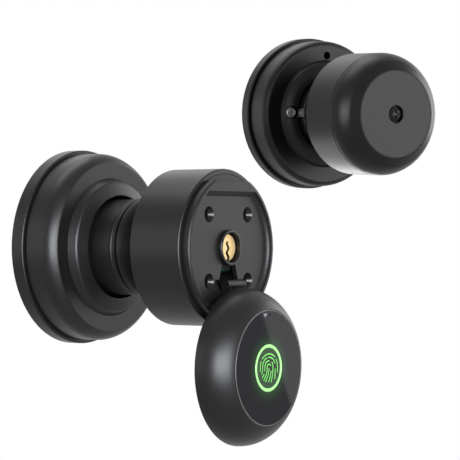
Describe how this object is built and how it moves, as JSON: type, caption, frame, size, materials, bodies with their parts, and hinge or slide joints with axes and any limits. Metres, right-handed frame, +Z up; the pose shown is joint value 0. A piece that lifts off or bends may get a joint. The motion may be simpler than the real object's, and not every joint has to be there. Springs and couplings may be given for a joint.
{
  "type": "fingerprint door knob lock",
  "caption": "Round door knob lock in two halves: a swing-down fingerprint cover over a key cylinder outside, and a battery cap on the inside knob",
  "frame": {"origin": "centre of the exterior half's mounting face, on its knob axis", "axes": "+Z up, exterior knob towards -Y, the door behind its rose towards +Y; the interior half stands apart, to the +X side, behind and above"},
  "size_m": [0.3312, 0.1995, 0.1782],
  "materials": {
    "satin_black": "satin",
    "steel": "satin",
    "brass": "satin",
    "dark_plastic": "matte",
    "board_green": "satin",
    "gloss_black": "gloss",
    "glow_green": "glowing",
    "cell_grey": "satin"
  },
  "bodies": {
    "lock_base": {"ext_base_ring": "satin_black", "ext_rose": "satin_black", "ext_mount_plate": "steel", "ext_retaining_ring": "steel", "ext_return_spring": "steel", "int_base_ring": "satin_black", "int_rose": "satin_black", "int_mount_plate": "steel", "int_retaining_ring": "steel", "mounting_screws": "steel"},
    "exterior_knob": {"ext_neck": "satin_black", "ext_bell": "satin_black", "ext_barrel": "satin_black", "front_plate": "satin_black", "plate_screws": "steel", "key_collar": "satin_black", "cylinder_body": "dark_plastic", "drive_hub": "steel", "clutch_housing": "dark_plastic", "clutch_motor": "steel", "main_board": "board_green", "hinge_bracket": "satin_black", "hinge_screws": "satin_black", "plate_hinge_pin": "satin_black"},
    "key_plug": {"key_plug": "brass", "plug_clip": "steel", "key_tail": "steel"},
    "clutch_pin": {"clutch_pin": "steel"},
    "hinge_link": {"hinge_link": "satin_black"},
    "cover": {"cover_shell": "satin_black", "cover_back": "satin_black", "cover_screws": "steel", "lens_bezel": "gloss_black", "lens": "gloss_black", "light_ring": "glow_green", "sensor_pad": "gloss_black", "sensor_board": "board_green", "cover_hinge_pin": "satin_black"},
    "interior_knob": {"int_neck": "satin_black", "int_bell": "satin_black", "int_barrel": "satin_black", "spindle": "steel", "spindle_hub": "steel", "battery_tray": "dark_plastic", "tray_screws": "steel", "batteries": "cell_grey", "battery_contacts": "steel"},
    "knob_catch": {"knob_catch": "steel"},
    "battery_cap": {"battery_cap": "satin_black"},
    "cap_screw": {"cap_screw": "satin_black"}
  },
  "joints": [
    {"name": "exterior_turn", "type": "hinge", "parent": "lock_base", "child": "exterior_knob", "pos_m": [0, 0, 0], "axis": [0, -1, 0], "range_deg": [-60, 60], "stiffness_Nm_per_rad": 1},
    {"name": "key_turn", "type": "hinge", "parent": "exterior_knob", "child": "key_plug", "pos_m": [0, 0, 0], "axis": [0, -1, 0], "range_deg": [-90, 90]},
    {"name": "clutch_slide", "type": "slide", "parent": "exterior_knob", "child": "clutch_pin", "axis": [0, -1, 0], "range_m": [0, 0.003]},
    {"name": "cover_swing", "type": "hinge", "parent": "exterior_knob", "child": "hinge_link", "pos_m": [0, -0.0769, -0.0138], "axis": [-1, 0, 0], "range_deg": [0, 162.5]},
    {"name": "cover_level", "type": "hinge", "parent": "hinge_link", "child": "cover", "pos_m": [0, -0.08376, -0.03555], "axis": [-1, 0, 0], "range_deg": [-162.5, 0]},
    {"name": "interior_turn", "type": "hinge", "parent": "lock_base", "child": "interior_knob", "pos_m": [0.258, 0.0604, 0.066], "axis": [-0.3774, -0.9248, -0.0489], "range_deg": [-60, 60]},
    {"name": "catch_press", "type": "slide", "parent": "interior_knob", "child": "knob_catch", "axis": [0.9259, -0.3778, 0], "range_m": [0, 0.0009], "stiffness_N_per_m": 800},
    {"name": "cap_pull", "type": "slide", "parent": "interior_knob", "child": "battery_cap", "axis": [-0.3774, -0.9248, -0.0489], "range_m": [0, 0.015]},
    {"name": "cap_screw_turn", "type": "hinge", "parent": "battery_cap", "child": "cap_screw", "pos_m": [0.258, 0.0604, 0.066], "axis": [-0.3774, -0.9248, -0.0489], "continuous": true}
  ],
  "couplings": [
    {"joint": "cover_level", "follows": "cover_swing", "ratio": -1}
  ]
}
